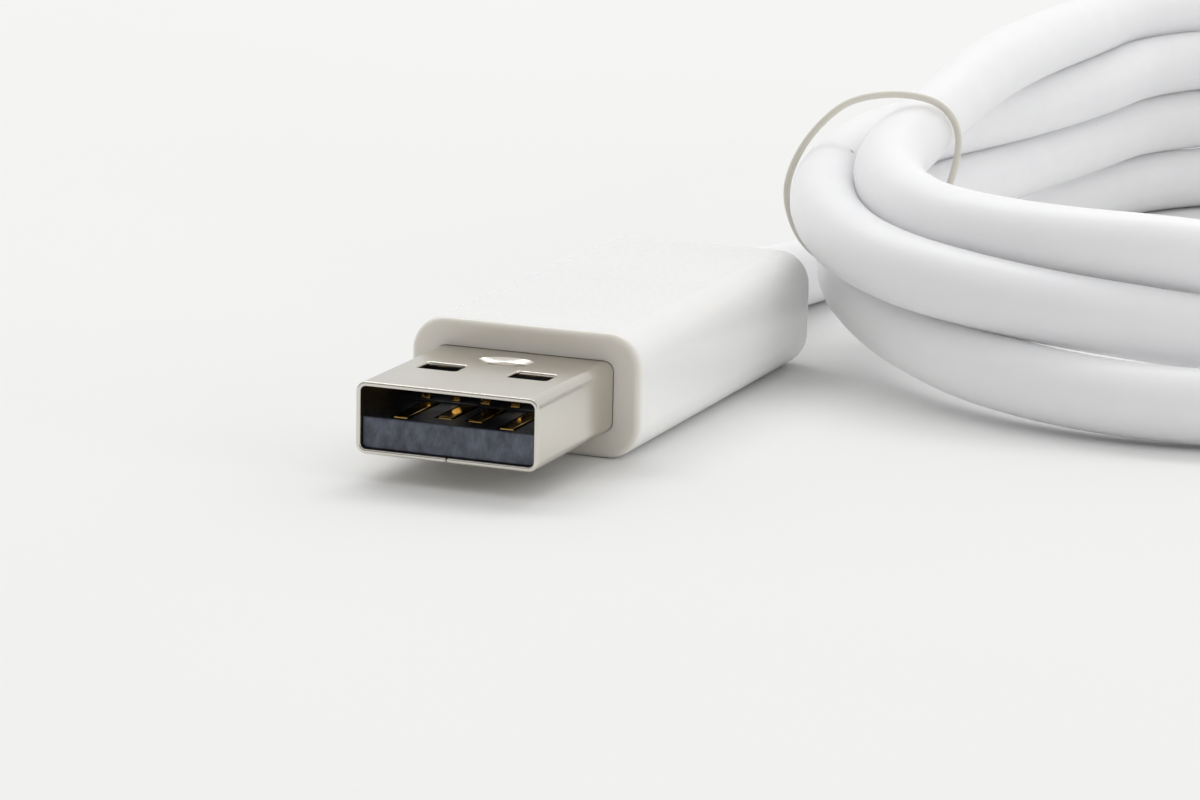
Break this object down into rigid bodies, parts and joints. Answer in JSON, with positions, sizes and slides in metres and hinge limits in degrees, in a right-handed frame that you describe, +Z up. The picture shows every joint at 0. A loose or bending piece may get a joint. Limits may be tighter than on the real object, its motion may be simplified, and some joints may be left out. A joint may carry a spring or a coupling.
{
  "type": "usb-c cable",
  "caption": "White charging and data cable tied in an oval hank, with a flat rectangular type A plug and a small rounded type C plug.",
  "frame": {"origin": "under the middle of the type A plug, on the surface that it lies on", "axes": "+Y from the type A plug's tip towards its cable, +Z up from the surface, +X towards the hank"},
  "size_m": [0.0918, 0.1384, 0.0176],
  "materials": {
    "plated_steel": "satin nickel plating",
    "black_insulator": "matt moulded plastic",
    "gold_contact": "gold plating",
    "tinned_braid": "woven tinned wire",
    "natural_mould": "plain",
    "white_overmould": "smooth, slightly glossy",
    "white_jacket": "smooth, soft sheen",
    "tie_plastic": "matt",
    "circuit_board": "solder mask",
    "red_wire": "smooth",
    "white_wire": "smooth",
    "green_wire": "smooth",
    "black_wire": "smooth"
  },
  "bodies": {
    "root": {"coil_tie": "tie_plastic", "cord_coil": "white_jacket", "cord_lead": "white_jacket", "cord_tail": "white_jacket", "plug_a_braid": "tinned_braid", "plug_a_contact_data_minus": "gold_contact", "plug_a_contact_data_plus": "gold_contact", "plug_a_contact_ground": "gold_contact", "plug_a_contact_power": "gold_contact", "plug_a_inner_mould": "natural_mould", "plug_a_insulator": "black_insulator", "plug_a_overmould": "white_overmould", "plug_a_rear_contacts": "gold_contact", "plug_a_shell": "plated_steel", "plug_a_wire_data_minus": "white_wire", "plug_a_wire_data_plus": "green_wire", "plug_a_wire_ground": "black_wire", "plug_a_wire_power": "red_wire", "plug_c_board": "circuit_board", "plug_c_braid": "tinned_braid", "plug_c_contacts_lower": "gold_contact", "plug_c_contacts_upper": "gold_contact", "plug_c_ground_springs": "plated_steel", "plug_c_inner_mould": "natural_mould", "plug_c_insulator": "black_insulator", "plug_c_latch": "plated_steel", "plug_c_overmould": "white_overmould", "plug_c_resistor": "black_insulator", "plug_c_shell": "plated_steel", "plug_c_shield_can": "plated_steel", "plug_c_wire_data_minus": "white_wire", "plug_c_wire_data_plus": "green_wire", "plug_c_wire_ground": "black_wire", "plug_c_wire_power": "red_wire"}
  },
  "joints": []
}
